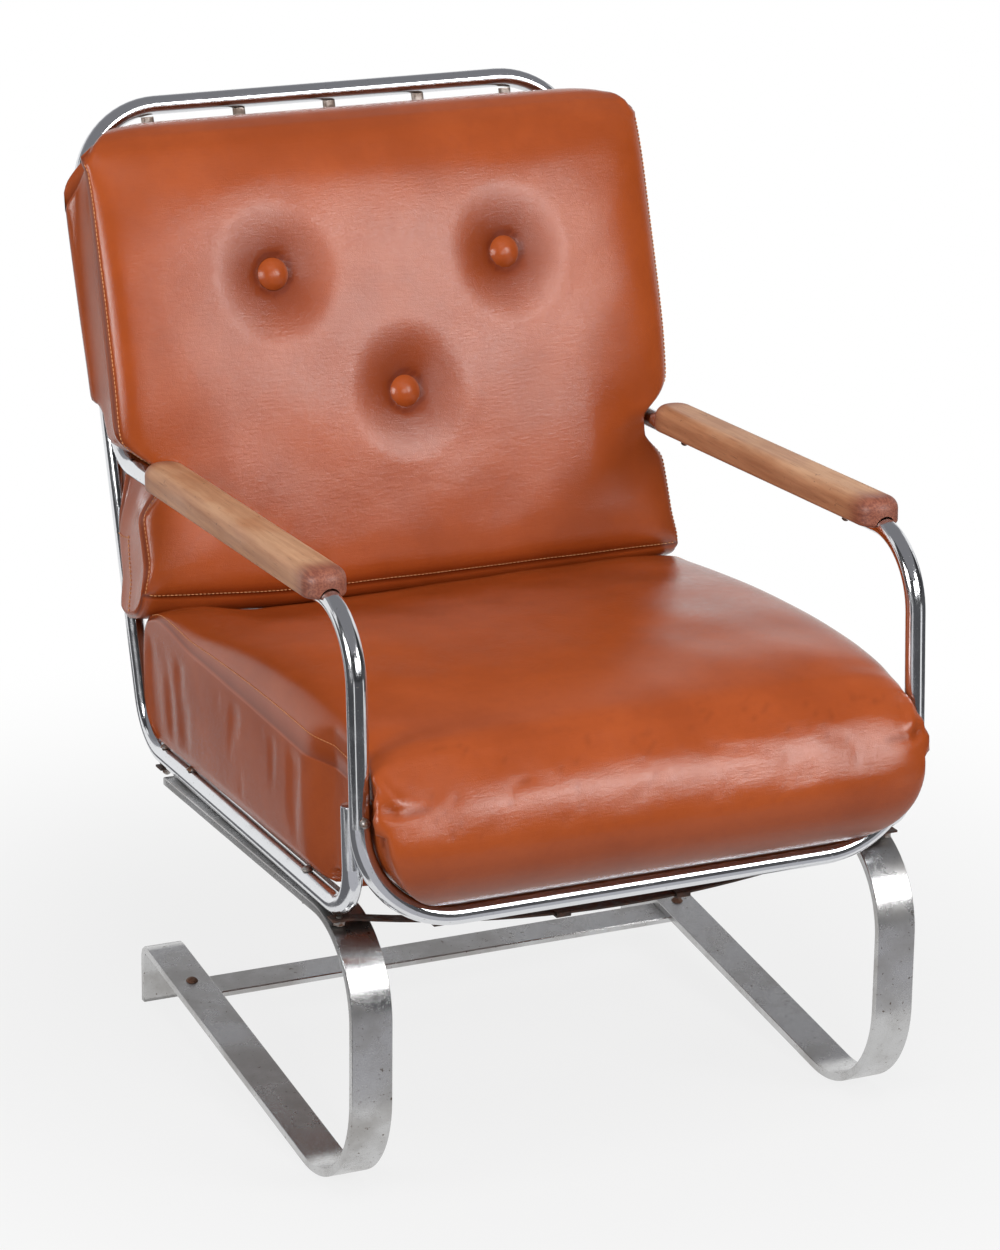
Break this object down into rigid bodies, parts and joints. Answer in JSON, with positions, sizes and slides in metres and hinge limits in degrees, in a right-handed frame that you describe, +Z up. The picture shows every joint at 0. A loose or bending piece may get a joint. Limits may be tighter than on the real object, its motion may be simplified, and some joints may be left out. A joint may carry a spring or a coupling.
{
  "type": "cantilever chair",
  "caption": "Cantilever armchair: bent tube frame on flat spring-steel legs, wooden arm pads, loose leather seat and button-tufted back cushions.",
  "frame": {"origin": "on the floor under the middle of the chair's bounding box", "axes": "+Z up, the sitter faces -Y, +X to the right of a viewer standing in front"},
  "size_m": [0.604, 0.7988, 0.8775],
  "materials": {
    "chrome_tube": "pitted chrome plate",
    "spring_steel": "satin plated flat spring steel, lightly stained",
    "worn_hardware": "dull plated fasteners with a little rust",
    "dark_strap": "dark browned strip steel",
    "worn_wood": "worn oiled hardwood, bleached on top",
    "saddle_leather": "saddle-brown semi-gloss leather"
  },
  "bodies": {
    "base": {"left_spring_leg": "spring_steel", "right_spring_leg": "spring_steel", "stretcher_bar": "spring_steel", "stretcher_bolts": "worn_hardware", "stretcher_nuts": "worn_hardware"},
    "seat_frame": {"arm_frame_tube": "chrome_tube", "back_frame_tube": "chrome_tube", "lower_back_rail": "chrome_tube", "upturn_plugs": "chrome_tube", "riser_plugs": "chrome_tube", "back_slat_1": "chrome_tube", "back_slat_2": "chrome_tube", "back_slat_3": "chrome_tube", "back_slat_4": "chrome_tube", "back_slat_5": "chrome_tube", "leg_bolts": "worn_hardware", "leg_nuts": "worn_hardware", "rear_strap_bolts": "worn_hardware", "rear_strap_nuts": "worn_hardware", "front_strap_studs": "worn_hardware", "front_strap_nuts": "worn_hardware", "armrest_screws": "worn_hardware", "front_joint_bolts": "worn_hardware", "front_joint_nuts": "worn_hardware", "riser_joint_bolts": "worn_hardware", "riser_joint_nuts": "worn_hardware", "front_seat_strap": "dark_strap", "rear_seat_strap": "dark_strap", "seat_band_1": "dark_strap", "seat_band_2": "dark_strap", "seat_band_3": "dark_strap", "seat_band_4": "dark_strap", "left_armrest": "worn_wood", "right_armrest": "worn_wood"},
    "seat_cushion": {"seat_cushion": "saddle_leather"},
    "back_cushion": {"back_cushion": "saddle_leather", "back_button_1": "saddle_leather", "back_button_2": "saddle_leather", "back_button_3": "saddle_leather"}
  },
  "joints": [
    {"name": "leg_flex", "type": "hinge", "parent": "base", "child": "seat_frame", "pos_m": [0, -0.2995, 0.142], "axis": [-1, 0, 0], "range_deg": [-1.5, 5], "stiffness_Nm_per_rad": 2500, "springref_deg": -1.27, "deforming": ["left_spring_leg", "right_spring_leg"]},
    {"name": "seat_cushion_slide", "type": "slide", "parent": "seat_frame", "child": "seat_cushion", "axis": [0, -0.9999, 0.0155], "range_m": [0, 0.04]},
    {"name": "back_cushion_tip", "type": "hinge", "parent": "seat_frame", "child": "back_cushion", "pos_m": [0, 0.1511, 0.4136], "axis": [1, 0, 0], "range_deg": [0, 6]}
  ]
}
